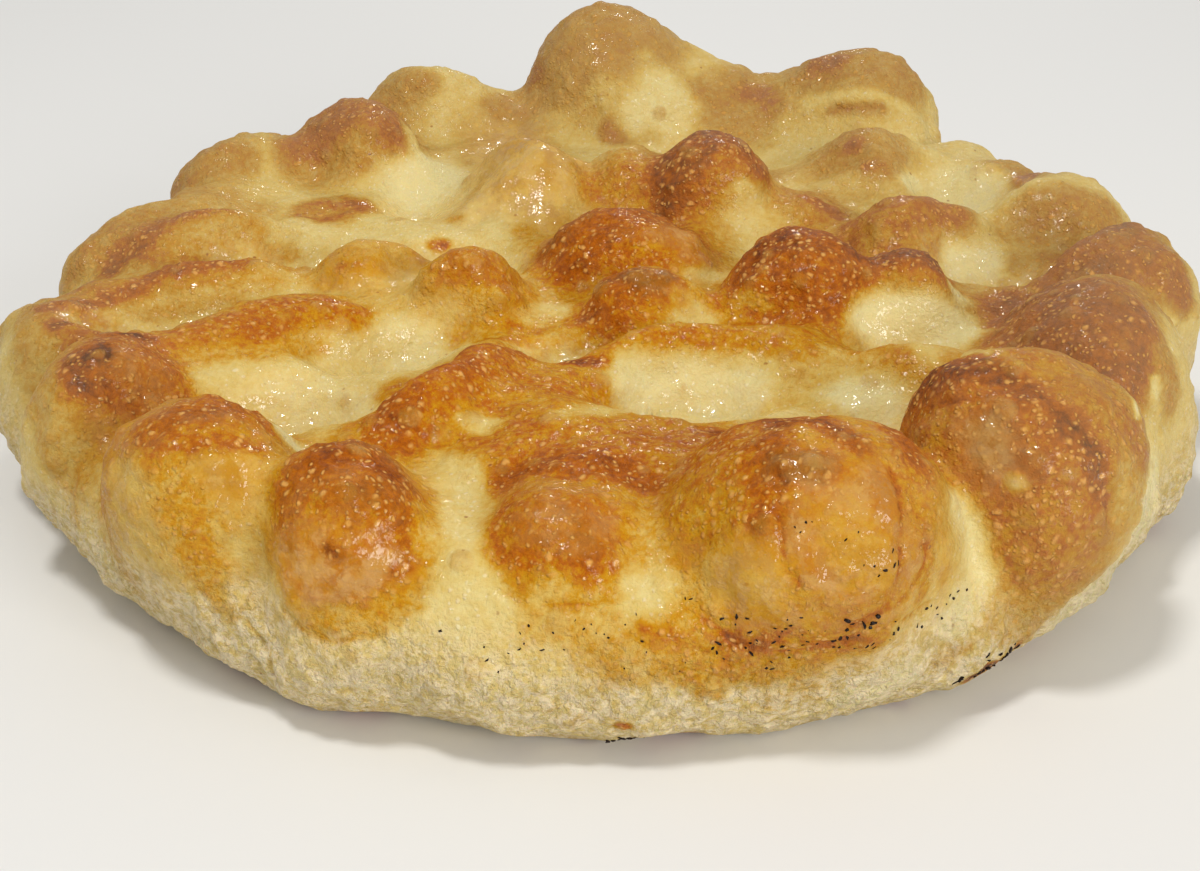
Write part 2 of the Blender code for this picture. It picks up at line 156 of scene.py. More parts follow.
stains = {
    # the near left bubble
    "nearLeftTan": Stain(0.34, 9.4, ((-70, -98, 41), (-64, -100, 39), (-56, -99, 38)), 0.6),
    "nearLeftFoot": Stain(0.29, 5.5, ((-70, -101, 29), (-64, -102, 26), (-57, -101, 29)), 0.2),
    "nearLeftFootPatch": Stain(0.43, 2, ((-62, -102, 24), (-60, -103, 19))),
    "nearLeftCrest": Stain(0.71, 4.7, ((-72, -91, 46), (-68, -88, 48), (-62, -82, 47), (-57, -79, 43)), 0.2),
    "nearLeftCrestRight": Stain(0, 3.9, ((-54, -77, 39), (-51, -79, 36))),
    "nearLeftShoulder": Stain(0.65, 2.9, ((-70, -95, 44), (-61, -93, 46), (-56, -92, 45)), 0.1),
    "nearLeftHaze": Stain(0.42, 3.2, ((-65, -98, 42), (-58, -98, 41)), 0.9),
    "nearLeftRim": Stain(0.36, 2.1, ((-78, -92, 40), (-77, -96, 36)), 0.6),
    # the near middle left bubble
    "nearMiddleFilm": Stain(0.63, 6.9, ((-47, -110, 34), (-42, -112, 30), (-34, -110, 32)), 0.9),
    "nearMiddleTop": Stain(0.68, 5.3, (
        (-49, -103, 41), (-45, -100, 45), (-37, -98, 45), (-31, -100, 41), (-30, -104, 38)), 0.2),
    "nearMiddleSide": Stain(0.4, 2.5, ((-29, -100, 38), (-28, -106, 35))),
    "nearMiddleBand": Stain(0.42, 2.5, ((-43, -112, 24), (-37, -113, 24), (-31, -112, 28))),
    "nearMiddleScabs": Stain(0.86, 1, ((-42, -111, 36), (-41, -111, 35))),
    "nearMiddleRedScab": Stain(0.69, 1.2, ((-32, -110, 32), (-31, -109, 32))),
    # the trough left of the disc
    "troughPale": Stain(0.18, 5.1, ((-24, -77, 33), (-22, -97, 34), (-21, -110, 31))),
    "troughFoot": Stain(0.15, 3.6, ((-24, -114, 27), (-17, -114, 28))),
    # the cross of raised dough
    "crossOrange": Stain(0.53, 9.2, ((-26, -67, 40), (-14, -57, 38), (-4, -53, 36))),
    "crossBand": Stain(0.6, 6.6, ((-23, -68, 34), (-10, -80, 39), (2, -86, 40), (12, -83, 39))),
    "crossLeft": Stain(0.68, 4.9, ((-36, -74, 37), (-35, -68, 41), (-29, -63, 43), (-24, -56, 42))),
    "crossKnob": Stain(0.72, 3.5, ((-21, -27, 34), (-16, -25, 34), (-12, -26, 34))),
    "crossSaddle": Stain(0.82, 2.2, ((-6, -42, 35), (1, -43, 36))),
    # the disc-shaped bubble
    "discRing": Stain(0.55, 3.6, (
        (-14, -102, 39), (-15, -107, 36), (-12, -112, 32), (-6, -114, 31), (0, -114, 31))),
    "discTop": Stain(0.74, 4.3, ((-14, -88, 36), (-8, -88, 39), (0, -90, 40), (7, -91, 38))),
    "disc": Stain(0.67, 7.3, ((-9, -107, 38), (-3, -108, 38)), 0.5),
    "discRight": Stain(0.41, 2.9, ((5, -98, 38), (7, -101, 36), (6, -108, 34)), 0.1),
    "discFoot": Stain(0.27, 2.9, ((-9, -115, 29), (-2, -115, 28))),
    # the pale patch at its right foot
    "discPale": Stain(0.21, 4, ((6, -113, 30), (12, -114, 29))),
    # the big near bubble
    "bigTan": Stain(0.56, 10.1, ((24, -117, 38), (33, -117, 40), (41, -117, 40)), 0.8),
    "bigFrontBand": Stain(0.38, 2.3, ((18, -113, 36), (16, -114, 31), (18, -116, 27)), 0.2),
    "bigShoulder": Stain(0.58, 6.2, ((10, -85, 39), (16, -91, 43), (23, -104, 48))),
    "bigPeak": Stain(0.68, 4, ((26, -101, 50), (25, -107, 48), (25, -112, 45))),
    "bigLeftFace": Stain(0.49, 3.6, ((13, -104, 40), (18, -110, 41), (21, -109, 44))),
    "bigCrest": Stain(0.76, 2.9, ((28, -94, 50), (35, -96, 51), (39, -102, 51)), 0.1),
    "bigOrangeFilm": Stain(0.84, 3.5, ((28, -107, 50), (33, -108, 50)), 0.6),
    "bigHaze": Stain(0.62, 3.5, ((41, -108, 48), (43, -110, 46)), 1),
    "bigEdge": Stain(0.53, 2, ((46, -107, 47), (50, -109, 41), (51, -111, 35), (49, -113, 29)), 0.2),
    "bigEdgeOuter": Stain(0.41, 1.7, ((54, -107, 35), (54, -108, 29)), 0.7),
    "bigFilmLeft": Stain(0.38, 5.1, ((21, -116, 36), (24, -118, 36)), 1),
    "bigFilmWhite": Stain(0.62, 2.3, ((30, -115, 43), (33, -119, 37)), 1),
    "bigFilmRight": Stain(0.45, 5.5, ((38, -116, 42), (40, -118, 39)), 0.7),
    "bigBottom": Stain(0.46, 2.2, ((30, -119, 33), (36, -119, 31), (44, -117, 32)), 0.3),
    # the charred band below it
    "bandMain": Stain(0.67, 3.6, ((8, -118, 24), (15, -117, 23), (24, -117, 22))),
    "bandLow": Stain(0.49, 3.2, ((16, -118, 17), (22, -117, 13), (28, -116, 14))),
    "bandRight": Stain(0.54, 2.9, ((29, -118, 25), (37, -117, 23), (43, -117, 24))),
    "bandFar": Stain(0.32, 2.1, ((46, -115, 24), (50, -111, 25))),
    "bandLeft": Stain(0.28, 3.2, ((-4, -118, 22), (1, -119, 18))),
    "wallSpot": Stain(0.61, 1.7, ((3, -118, 9),)),
    # the near right bubble
    "nearRightDusty": Stain(0.57, 11.4, ((64, -94, 46), (71, -99, 42), (72, -101, 32))),
    "nearRightLeft": Stain(0.67, 3.8, ((55, -75, 48), (53, -77, 45), (48, -93, 48), (49, -101, 47))),
    "nearRightTop": Stain(0.44, 3.1, ((59, -48, 38), (59, -80, 53), (66, -84, 53))),
    "nearRightOrange": Stain(0.56, 4.7, ((56, -88, 47), (57, -92, 42), (60, -96, 39)), 0.3),
    "nearRightFilm": Stain(0.82, 4.9, ((62, -92, 47), (65, -96, 43)), 0.8),
    "nearRightPatch": Stain(0.13, 1.8, ((66, -97, 41), (66, -98, 41)), 0.9),
    "nearRightDark": Stain(0.78, 2.9, ((75, -92, 49), (79, -96, 44), (81, -97, 38))),
    "nearRightLow": Stain(0.56, 5.1, ((66, -99, 29), (72, -101, 29), (78, -100, 31))),
    "nearRightFoot": Stain(0.34, 4.3, ((62, -103, 19), (71, -98, 14))),
    "nearRightFootLeft": Stain(0.33, 2.5, ((55, -107, 13), (59, -105, 16))),
    "nearRightBurn": Stain(0.95, 1.7, ((62, -100, 5), (65, -99, 6), (69, -98, 9))),
    "valleyPale": Stain(0.1, 3.4, ((57, -99, 37), (59, -99, 31), (61, -101, 25), (57, -105, 20))),
    # the pale side wall on the right
    "rightWall": Stain(0, 5.5, ((97, -67, 25), (95, -73, 18), (88, -81, 13), (78, -90, 9))),
    "rightWallLow": Stain(0, 4.5, ((48, -110, 12), (42, -111, 9))),
    # the right ridge
    "rightRidgeTop": Stain(0.75, 5.7, ((80, -16, 35), (83, -40, 47), (90, -49, 49), (98, -53, 46))),
    "rightRidgeFace": Stain(0.77, 7, ((78, -49, 42), (84, -56, 44), (92, -60, 43))),
    "rightRidgeEdge": Stain(0.44, 4.2, ((101, -54, 42), (103, -55, 35))),
    "rightRidgeLow": Stain(0.52, 4.7, ((84, -88, 47), (89, -87, 41))),
    "rightRidgePaleA": Stain(0.14, 1.8, ((98, -59, 40), (98, -59, 38))),
    "rightRidgePaleB": Stain(0, 1.3, ((88, -82, 46), (88, -83, 45))),
    "rightRidgeFoot": Stain(0.35, 3.8, ((84, -95, 40), (86, -94, 36))),
    # the right rim
    "rightRimTop": Stain(0.67, 4.7, (
        (91, -8, 40), (95, -7, 44), (102, -8, 47), (109, -13, 45), (115, -16, 39))),
    "rightRimFace": Stain(0.43, 3.9, ((91, -31, 48), (100, -33, 48), (105, -37, 44))),
    "rightRimPale": Stain(0.79, 2, ((91, -45, 50), (99, -47, 48))),
    # the far right rim
    "rightFarRim": Stain(0.48, 5.1, ((94, 22, 40), (101, 22, 42), (108, 22, 40))),
    "rightFarBump": Stain(0.66, 2.9, ((95, 44, 40), (98, 43, 42))),
    "farPlateau": Stain(0.04, 6.5, ((82, 52, 35), (86, 47, 34))),
    # the right mound and the middle right dome
    "rightMound": Stain(0.57, 3.9, ((57, 19, 40), (60, 19, 43), (67, 17, 45), (76, 19, 42))),
    "rightMoundLow": Stain(0.46, 2.7, ((57, 13, 38), (70, 12, 37))),
    "rightMoundEnd": Stain(0.33, 2.7, ((89, 13, 33), (91, 11, 33))),
    "rightMoundPale": Stain(0.03, 3.9, ((76, 13, 34), (82, 13, 33))),
    "farRightSmall": Stain(0.71, 3.4, ((48, 34, 39), (50, 32, 38), (51, 31, 38))),
    "middleRightTop": Stain(0.81, 4, (
        (29, -16, 45), (35, -15, 49), (41, -15, 50), (49, -15, 47), (60, -14, 46), (66, -15, 44))),
    "middleRightFace": Stain(0.69, 5.1, ((33, -22, 44), (40, -24, 44), (48, -23, 44))),
    "middleRightLow": Stain(0.71, 3, ((37, -26, 39), (44, -27, 40))),
    "middleRightAmber": Stain(0.41, 2.2, ((27, -22, 39), (32, -24, 39)), 0.2),
    "middleRightEnd": Stain(0.13, 2.6, ((69, -15, 40), (72, -16, 37))),
    "middleRightPale": Stain(0.03, 5.1, ((52, -25, 37), (61, -24, 37), (70, -25, 34))),
    # the middle domes
    "middleDomeFilm": Stain(0.61, 6.9, ((13, 2, 45), (18, -1, 41)), 0.7),
    "middleDome": Stain(0.67, 5.3, ((-6, -2, 39), (-2, 1, 43), (4, 6, 46), (9, 6, 46))),
    "middleDomeFace": Stain(0.59, 3.6, ((4, -5, 40), (11, -4, 41))),
    "middleDomePale": Stain(0.2, 2.3, ((18, -6, 38), (24, -5, 37)), 0.3),
    "middleSmallFilm": Stain(0.85, 4, ((6, -21, 43), (12, -21, 43)), 0.6),
    "middleSmall": Stain(0.68, 3.5, ((1, -22, 40), (3, -23, 41), (5, -27, 38))),
    "middleSmallFace": Stain(0.54, 2.5, ((8, -27, 38), (9, -29, 37))),
    "middleSmallPale": Stain(0.22, 3.2, ((17, -24, 38), (20, -25, 36))),
    "middleSmallTopPale": Stain(0.48, 1.8, ((15, -22, 41), (16, -23, 40)), 0.5),
    "middleLeftDome": Stain(0.62, 5.1, ((-28, -16, 45), (-24, -15, 45), (-20, -17, 42)), 0.5),
    "middleLeftDomeFoot": Stain(0.4, 2.3, ((-27, -20, 39), (-20, -21, 39))),
    "middleLeftSpot": Stain(0.41, 2.1, ((-14, -11, 36), (-12, -11, 35))),
    "middleLeftLow": Stain(0.53, 4.3, ((-48, -5, 41), (-41, 1, 40), (-38, 2, 38)), 0.9),
    "middleLeftLowEdge": Stain(0.9, 1.8, ((-53, -6, 40), (-49, -6, 41)), 0.2),
    # the ridge across the middle and its ends
    "ridgeAmber": Stain(0.56, 2.7, ((2, -38, 37), (9, -36, 39), (21, -36, 39), (32, -37, 39))),
    "ridgeRight": Stain(0.5, 3.1, ((40, -35, 38), (49, -40, 37), (56, -46, 39))),
    "ridgeEnd": Stain(0.27, 3.1, ((61, -46, 40), (62, -80, 54), (66, -83, 53))),
    "ridgeFace": Stain(0.28, 3.1, ((32, -44, 34), (35, -48, 33), (40, -47, 34))),
    "ridgeFaceRight": Stain(0.34, 2, ((42, -41, 37), (50, -44, 37))),
    "pressedB": Stain(0.07, 6.2, ((7, -45, 32), (17, -44, 32), (26, -46, 32))),
    "pressedC": Stain(0, 4.8, ((46, -51, 32), (50, -52, 32))),
    "saddlePale": Stain(0.4, 2.5, ((-11, -28, 34), (-3, -27, 33))),
    "smallPale": Stain(0.23, 2.6, ((-11, -15, 35), (-7, -17, 35))),
    # the left side
    "leftFacePale": Stain(0.19, 5.3, ((-70, -47, 35), (-58, -44, 33), (-48, -40, 31))),
    "leftPressed": Stain(0.11, 6.6, ((-56, -49, 31), (-49, -54, 30), (-46, -53, 29))),
    "leftUpperPale": Stain(0.11, 4, ((-40, -22, 33), (-33, -26, 30), (-38, -28, 30))),
    "leftRidgeCrest": Stain(0.58, 4.4, (
        (-81, -40, 39), (-74, -36, 39), (-66, -31, 40), (-57, -26, 40), (-49, -23, 38))),
    "leftRidgeSpot": Stain(0.58, 3, ((-66, -31, 40), (-64, -35, 38))),
    "leftRidgeLow": Stain(0.41, 2, ((-76, -41, 37), (-64, -40, 36), (-54, -31, 34))),
    "leftBrowFilm": Stain(0.67, 4.2, ((-85, -57, 43), (-80, -57, 39)), 0.5),
    "leftBrow": Stain(0.91, 3.2, ((-92, -63, 41), (-92, -58, 44), (-89, -56, 45))),
    "leftBrowTop": Stain(0.92, 2.2, ((-89, -43, 42), (-85, -41, 40))),
    "leftBrowLow": Stain(0.56, 4.8, ((-88, -68, 35), (-80, -86, 42)), 0.6),
    "leftRimCrest": Stain(0.71, 2.3, ((-108, -26, 39), (-100, -20, 37), (-94, -13, 37), (-89, -8, 39))),
    "leftRimCrestFar": Stain(0.74, 2.9, ((-85, -7, 40), (-80, -5, 40), (-74, -4, 40))),
    "leftRimCrestEnd": Stain(0.41, 2.2, ((-71, 13, 34), (-66, 17, 33))),
    "leftValley": Stain(0.36, 1.8, (
        (-98, -22, 36), (-90, -14, 35), (-78, -12, 36), (-67, -8, 38), (-58, -3, 37))),
    "leftRimTan": Stain(0.37, 5.6, ((-108, -36, 35), (-98, -63, 38), (-94, -70, 32))),
    "leftRimSpot": Stain(0.81, 2, ((-104, -34, 39), (-101, -32, 39))),
    "leftRimYellow": Stain(0.47, 2.1, ((-100, -25, 36), (-98, -24, 35))),
    "leftMound": Stain(0.75, 3.5, ((-101, 6, 34), (-100, 8, 36), (-94, 9, 40), (-88, 12, 42))),
    "leftMoundEnd": Stain(0.72, 2.5, ((-83, 14, 43), (-77, 17, 42))),
    "leftMoundLow": Stain(0.53, 2.2, ((-91, 5, 38), (-83, 9, 39))),
    "leftFarEdge": Stain(0.46, 3.2, ((-113, 8, 31), (-109, 10, 35), (-104, 16, 39), (-99, 22, 40))),
    "farLeftEdge": Stain(0.44, 4.8, ((-92, 55, 41), (-83, 56, 41))),
    # the far left
    "farLeftTop": Stain(0.65, 6.1, (
        (-69, 63, 40), (-65, 66, 44), (-59, 69, 49), (-51, 68, 48), (-47, 63, 43))),
    "farLeftFront": Stain(0.43, 2.5, ((-70, 60, 37), (-61, 59, 38), (-55, 57, 40))),
    "farLeftTan": Stain(0.22, 3.1, ((-45, 69, 43), (-44, 66, 41)), 0.1),
    "farLeftStain": Stain(0.84, 7, ((-62, 37, 34), (-58, 39, 35))),
    "farLeftStainSpot": Stain(0.66, 2.9, ((-66, 34, 35),)),
    "farLeftStainTop": Stain(0.35, 2.1, ((-60, 44, 35),)),
    "farLeftLow": Stain(0.45, 3.2, ((-48, 95, 47), (-42, 95, 47))),
    "farLeftPale": Stain(0.02, 7.9, ((-43, 58, 33), (-38, 61, 34))),
    "farLeftPaleLow": Stain(0.36, 5.1, ((-88, 8, 40), (-74, 15, 38), (-76, 36, 36))),
    # the hazy far blister
    "blisterFilm": Stain(0.36, 11.4, ((-24, 84, 35), (-13, 38, 46)), 1),
    "blisterTop": Stain(0.43, 4.5, ((-25, 96, 40), (-19, 97, 39)), 0.5),
    "blisterSpot": Stain(0.41, 2.6, ((-12, 36, 45), (-11, 35, 44)), 0.6),
    "blisterRing": Stain(0.28, 1.7, ((-5, 41, 43), (-4, 36, 39), (-7, 31, 38)), 0.3),
    "spotSmall": Stain(0.68, 1.7, ((-35, 19, 35), (-34, 20, 35))),
    "spotSmallTail": Stain(0.48, 2, ((-33, 33, 35),)),
    "spotTan": Stain(0.47, 2.9, ((-17, 24, 35), (-16, 24, 35)), 0.1),
    "spotFar": Stain(0.39, 1.6, ((-32, 69, 35),)),
    "betweenPale": Stain(0.18, 3.4, ((-25, 27, 36), (-23, 23, 35))),
    # the far side
    "farDomeLow": Stain(0.54, 4.7, ((-2, 40, 40), (4, 39, 42), (9, 36, 40))),
    "farDomeFilm": Stain(0.77, 3.8, ((4, 83, 38), (11, 84, 39)), 0.7),
    "farDome": Stain(0.79, 5.2, ((14, 35, 44), (19, 39, 50), (26, 39, 52), (32, 38, 50), (35, 37, 46))),
    "farDomePale": Stain(0.23, 1.7, ((31, 30, 44), (32, 30, 43))),
    "farTallTan": Stain(0.42, 13.5, ((-5, 97, 56), (5, 98, 56), (9, 100, 57)), 0.5),
    "farTallEdge": Stain(0.61, 3, ((-16, 103, 46), (-16, 103, 48))),
    "farTallSpot": Stain(0.28, 2.6, ((12, 96, 53),)),
    "farTallPale": Stain(0.12, 6.4, ((14, 89, 46), (17, 88, 44), (10, 85, 41))),
    "farTallLow": Stain(0.25, 3.8, ((0, 89, 45), (2, 89, 46)), 0.2),
    "farSpotA": Stain(0.42, 3.5, ((25, 93, 46),)),
    "farSpotB": Stain(0.66, 4.8, ((38, 93, 43), (41, 92, 43))),
    "farSpotBLow": Stain(0.36, 2.9, ((34, 90, 41), (37, 90, 41))),
    "farRightTan": Stain(0.43, 7.7, ((56, 91, 51), (66, 90, 53), (74, 88, 49)), 0.2),
    "farRightBrown": Stain(0.73, 2.9, ((53, 94, 51), (59, 93, 53))),
    "farRightStripe": Stain(0.35, 2.2, ((57, 87, 49), (70, 84, 48))),
    "farRightPale": Stain(0.2, 2.2, ((51, 87, 45), (63, 82, 47), (75, 83, 43))),
    "farRightSliver": Stain(0.43, 1.8, ((57, 82, 44), (67, 80, 44))),
    "farRightMound": Stain(0.41, 5.3, ((59, 56, 44), (68, 55, 43))),
    "farRightMoundA": Stain(0.66, 2.3, ((58, 56, 43), (59, 57, 44))),
    "farRightMoundB": Stain(0.57, 2.3, ((61, 49, 41), (64, 48, 42))),
    "farRightMoundPale": Stain(0, 2.3, ((72, 51, 37), (70, 47, 38))),
    # crowns and edges over the rest
    "ridgeLeftEnd": Stain(0.56, 4.2, ((-37, -50, 34), (-32, -63, 42), (-26, -66, 41))),
    "ridgeKnobCrest": Stain(0.43, 3, ((-27, -24, 32), (-19, -26, 34), (-11, -27, 34))),
    "bigCrestBack": Stain(0.28, 2.7, (
        (-7, -71, 39), (6, -65, 36), (22, -54, 31), (35, -51, 31), (45, -55, 31))),
    "rightFoldEdge": Stain(0.86, 3.5, ((54, -76, 47), (56, -76, 50), (58, -78, 52))),
    "farRidgeLeftEnd": Stain(0.75, 3.5, ((78, -24, 35), (81, -25, 39), (86, -29, 45))),
    "leftWallTan": Stain(0.47, 4.2, ((-69, -98, 41), (-66, -101, 36), (-63, -102, 29))),
    "pressedRidge": Stain(0, 3.1, ((-24, -68, 35), (-18, -71, 34))),
    "nearRightCrown": Stain(0.83, 3.8, ((57, -80, 51), (63, -82, 53), (69, -88, 52))),
    "nearMiddleCrown": Stain(0.75, 2.9, ((-44, -99, 45), (-39, -96, 45), (-33, -97, 43))),
    "bigCrown": Stain(0.82, 3.4, ((20, -75, 38), (26, -89, 48), (33, -95, 51))),
    "farLeftSpotMore": Stain(0.5, 4, ((-65, 37, 35), (-59, 38, 35))),
    "leftLowBlister": Stain(0.41, 4.3, ((-51, -4, 42), (-42, -1, 40)), 0.5),
    "discRingLeft": Stain(0.59, 1.2, ((-15, -109, 33), (-16, -105, 36), (-15, -99, 38), (-13, -97, 39))),
    "discRingLow": Stain(0.66, 2.2, ((-13, -110, 33), (-9, -112, 33), (-3, -113, 33), (1, -111, 34))),
    "discRingRight": Stain(0.48, 1, ((3, -110, 34), (4, -106, 36), (3, -100, 38))),
    "bandWide": Stain(0.45, 4, ((6, -119, 22), (14, -118, 19), (22, -117, 18), (31, -116, 20))),
    "wallWarmA": Stain(0.35, 4, ((-6, -115, 30), (0, -117, 24), (6, -119, 21))),
    "wallWarmB": Stain(0.45, 3.2, ((14, -114, 29), (15, -117, 24))),
    "wallWarmC": Stain(0.28, 2.9, ((21, -117, 12), (28, -116, 13))),
}


def smoothStep(low, high, value):
    share = np.clip((value - low) / (high - low), 0, 1)
    return share * share * (3 - 2 * share)


def rimStray(angle):
    stray = np.array(form["rimStray"])
    places = angle / math.tau * len(stray)
    before = np.floor(places).astype(int)
    share = (1 - np.cos((places - before) * math.pi)) / 2
    return stray[before % len(stray)] * (1 - share) + stray[(before + 1) % len(stray)] * share


def cushionField(points):  # how far outside the plain round dough, less than 0 inside
    x, y, z = points.T
    rimRound = (form["doughHeight"] + form["stoneCut"]) / 2
    out = np.maximum(np.hypot(x, y) - rimStray(np.arctan2(y, x)) - (form["rimRadius"] - rimRound), 0)
    return np.hypot(out, z - (form["doughHeight"] - rimRound)) - rimRound


def ballField(points, middle, halfSizes, turn):  # the same for a flattened, turned ball, and local places
    cos, sin = math.cos(math.radians(turn)), math.sin(math.radians(turn))
    x, y, z = (points - middle).T
    local = np.stack([cos * x + sin * y, cos * y - sin * x, z], axis=1) / halfSizes
    near = np.linalg.norm(local, axis=1)
    slope = np.linalg.norm(local / halfSizes, axis=1)
    return near * (near - 1) / np.maximum(slope, 1e-9), local


def bubbleField(points, bubble):
    middle = (bubble.x, bubble.y, bubble.level)
    return ballField(points, middle, (bubble.length, bubble.width, bubble.rise), bubble.turn)


def dimpleField(points, dimple):
    depth = form["dimpleDepth"]
    middle = (dimple.x, dimple.y, dimple.floor + depth)
    return ballField(points, middle, (dimple.length, dimple.width, depth), dimple.turn)[0]


def melted(first, second, melt):  # two fields joined, the crease between them filled
    close = np.maximum(melt - np.abs(first - second), 0) / melt
    return np.minimum(first, second) - close * close * melt / 4


def waves(points, table, seed):
    draw = random.Random(seed)
    total = np.zeros(len(points))
    for length, height in table:
        for _ in range(form["wavesEach"]):
            way = Vector((draw.uniform(-1, 1), draw.uniform(-1, 1), draw.uniform(-0.6, 0.6))).normalized()
            total += height * np.sin(points @ np.array(way) * math.tau / length + draw.uniform(0, math.tau))
    return total / math.sqrt(form["wavesEach"])


def shifted(points):  # the sideways shifts that make round bubbles uneven
    moved = points.copy()
    moved[:, 0] += waves(points, form["shiftWaves"], seed=3)
    moved[:, 1] += waves(points, form["shiftWaves"], seed=8)
    return moved


def within(points, middle, reach):  # which points lie in the block around a place
    return np.flatnonzero((np.abs(points - middle) < reach).all(axis=1))


def aroundBubble(moved, bubble, reach):
    half = max(bubble.length, bubble.width) + reach
    return within(moved, (bubble.x, bubble.y, bubble.level), (half, half, bubble.rise + reach))


def aroundDimple(moved, dimple, reach):
    half = max(dimple.length, dimple.width) + reach
    return within(moved, (dimple.x, dimple.y, dimple.floor), (half, half, 2 * form["dimpleDepth"] + reach))


def breadField(points):
    moved = shifted(points)
    field = cushionField(moved)
    for bubble in bubbles.values():
        near = aroundBubble(moved, bubble, bubble.melt + 3)
        field[near] = melted(field[near], bubbleField(moved[near], bubble)[0], bubble.melt)
    for dimple in dimples.values():
        near = aroundDimple(moved, dimple, form["dimpleMelt"] + 3)
        field[near] = -melted(-field[near], dimpleField(moved[near], dimple), form["dimpleMelt"])
    return field + waves(points, form["lumpWaves"], seed=5)


def settled(points):  # the points drawn onto the dough's form
    probe = form["probe"]
    for _ in range(form["settlePasses"]):
        field = breadField(points)
        rise = np.stack([breadField(points + step) - field for step in np.eye(3) * probe], axis=1) / probe
        steepness = np.maximum((rise * rise).sum(axis=1), form["gentlest"])
        move = rise * (field / steepness)[:, None]
        length = np.linalg.norm(move, axis=1)
        kept = np.minimum(length, form["longestMove"]) / np.maximum(length, 1e-9)
        points = points - move * kept[:, None]
    points[:, 2] = np.maximum(points[:, 2], 0)
    return points


def onlySelect(piece):
    bpy.ops.object.select_all(action="DESELECT")
    piece.select_set(True)
    bpy.context.view_layer.objects.active = piece


def readPoints(mesh):
    points = np.empty(3 * len(mesh.vertices))
    mesh.vertices.foreach_get("co", points)
    return points.reshape(-1, 3) / mm


def writePoints(mesh, points):
    mesh.vertices.foreach_set("co", (points * mm).ravel())
    mesh.update()


def readNormals(mesh):
    normals = np.empty(3 * len(mesh.vertices), np.float32)
    mesh.vertex_normals.foreach_get("vector", normals)
    return normals.reshape(-1, 3).astype(float)


def noiseAt(points, size, seed=0.0, octaves=3):  # soft noise from about -1 to 1, with lumps of the given size
    shift = Vector((seed, seed * 0.7, -seed))
    return np.array([noise.fractal(Vector(p) / size + shift, 1.0, 2.0, octaves) for p in points.tolist()])


def pathDistance(points, path):
    corners = [np.array(corner, float) for corner in path]
    if len(corners) == 1:
        return np.linalg.norm(points - corners[0], axis=1)
    nearest = np.full(len(points), np.inf)
    for start, end in zip(corners, corners[1:]):
        way = end - start
        share = np.clip((points - start) @ way / (way @ way), 0, 1)
        nearest = np.minimum(nearest, np.linalg.norm(points - start - share[:, None] * way, axis=1))
    return nearest


def makeSkin():
    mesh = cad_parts["focaccia"].data.copy()
    mesh.name = "bread"
    bread = bpy.data.objects.new("bread", mesh)
    bpy.context.scene.collection.objects.link(bread)
    onlySelect(bread)
    bpy.ops.object.mode_set(mode="EDIT")
    bpy.ops.mesh.select_all(action="SELECT")
    bpy.ops.mesh.remove_doubles(threshold=form["weld"] * mm)
    bpy.ops.object.mode_set(mode="OBJECT")
    even = bread.modifiers.new("evenSkin", "REMESH")
    even.mode = "VOXEL"
    even.voxel_size = form["skinStep"] * mm
    bpy.ops.object.modifier_apply(modifier=even.name)
    coarsenUnderside(bread)
    writePoints(bread.data, settled(readPoints(bread.data)))
    smoothKnots(bread)
    print("skin:", len(bread.data.vertices), "points,", len(bread.data.polygons), "faces")
    return bread


def smoothKnots(bread):  # evens out the few narrow places where the skin can't settle
    points = readPoints(bread.data)
    knots = points[np.abs(breadField(points)) > form["knotMiss"]]
    group = bread.vertex_groups.new(name="knots")
    for knot in knots[::form["knotShare"]]:
        near = np.flatnonzero(np.linalg.norm(points - knot, axis=1) < form["knotReach"])
        group.add(near.tolist(), 1.0, "REPLACE")
    smooth = bread.modifiers.new("smoothKnots", "SMOOTH")
    smooth.iterations = form["knotPasses"]
    smooth.vertex_group = group.name
    onlySelect(bread)
    bpy.ops.object.modifier_apply(modifier=smooth.name)
    bread.vertex_groups.clear()
    print("knots:", len(knots))


def coarsenUnderside(bread):  # the flat underside needs few faces, which leaves more for the top
    points = readPoints(bread.data)
    x, y, z = points.T
    flat = smoothStep(*form["flatHeights"], z) * smoothStep(*form["flatRadii"], np.hypot(x, y))
    group = bread.vertex_groups.new(name="flat")
    for index in np.flatnonzero(flat > 0).tolist():
        group.add([index], float(flat[index]), "REPLACE")
    thin = bread.modifiers.new("thinFlat", "DECIMATE")
    thin.ratio = 1 - form["flatThinned"] * float((flat > 0).mean())
    thin.vertex_group = group.name
    thin.vertex_group_factor = form["flatHold"]
    bpy.ops.object.modifier_apply(modifier=thin.name)
    bread.vertex_groups.clear()


# The baking beyond the bubbles and stains
baking = {
    "least": 0.20,
    "capEdge": 4.0,  # how far a cap's brown runs over onto the dough, in millimetres
    "glowEdge": 12.0,  # how far a fainter golden ring around it reaches
    "glow": 0.7,
    "pressed": 0.5,  # how much paler a dimple is
    "pressEdge": 2.2,  # and how far its paleness reaches
    "wander": ((14.0, 1.6), (5.0, 0.5)),  # how uneven the edges are: size and reach, in millimetres
    "mottle": ((12.0, 0.06), (4.0, 0.03)),  # uneven browning: size and depth
    "mottleFrom": (0.05, 0.35),  # the browning at which that starts and is in full
    "capSpan": (-0.3, 0.5),  # where a cap starts and is in full, from its bubble's pale value
    "glowSpan": (-0.8, 0.2),
    "stainEdge": (1.6, 0.3),  # where a stain starts and is in full, in parts of its radius
}


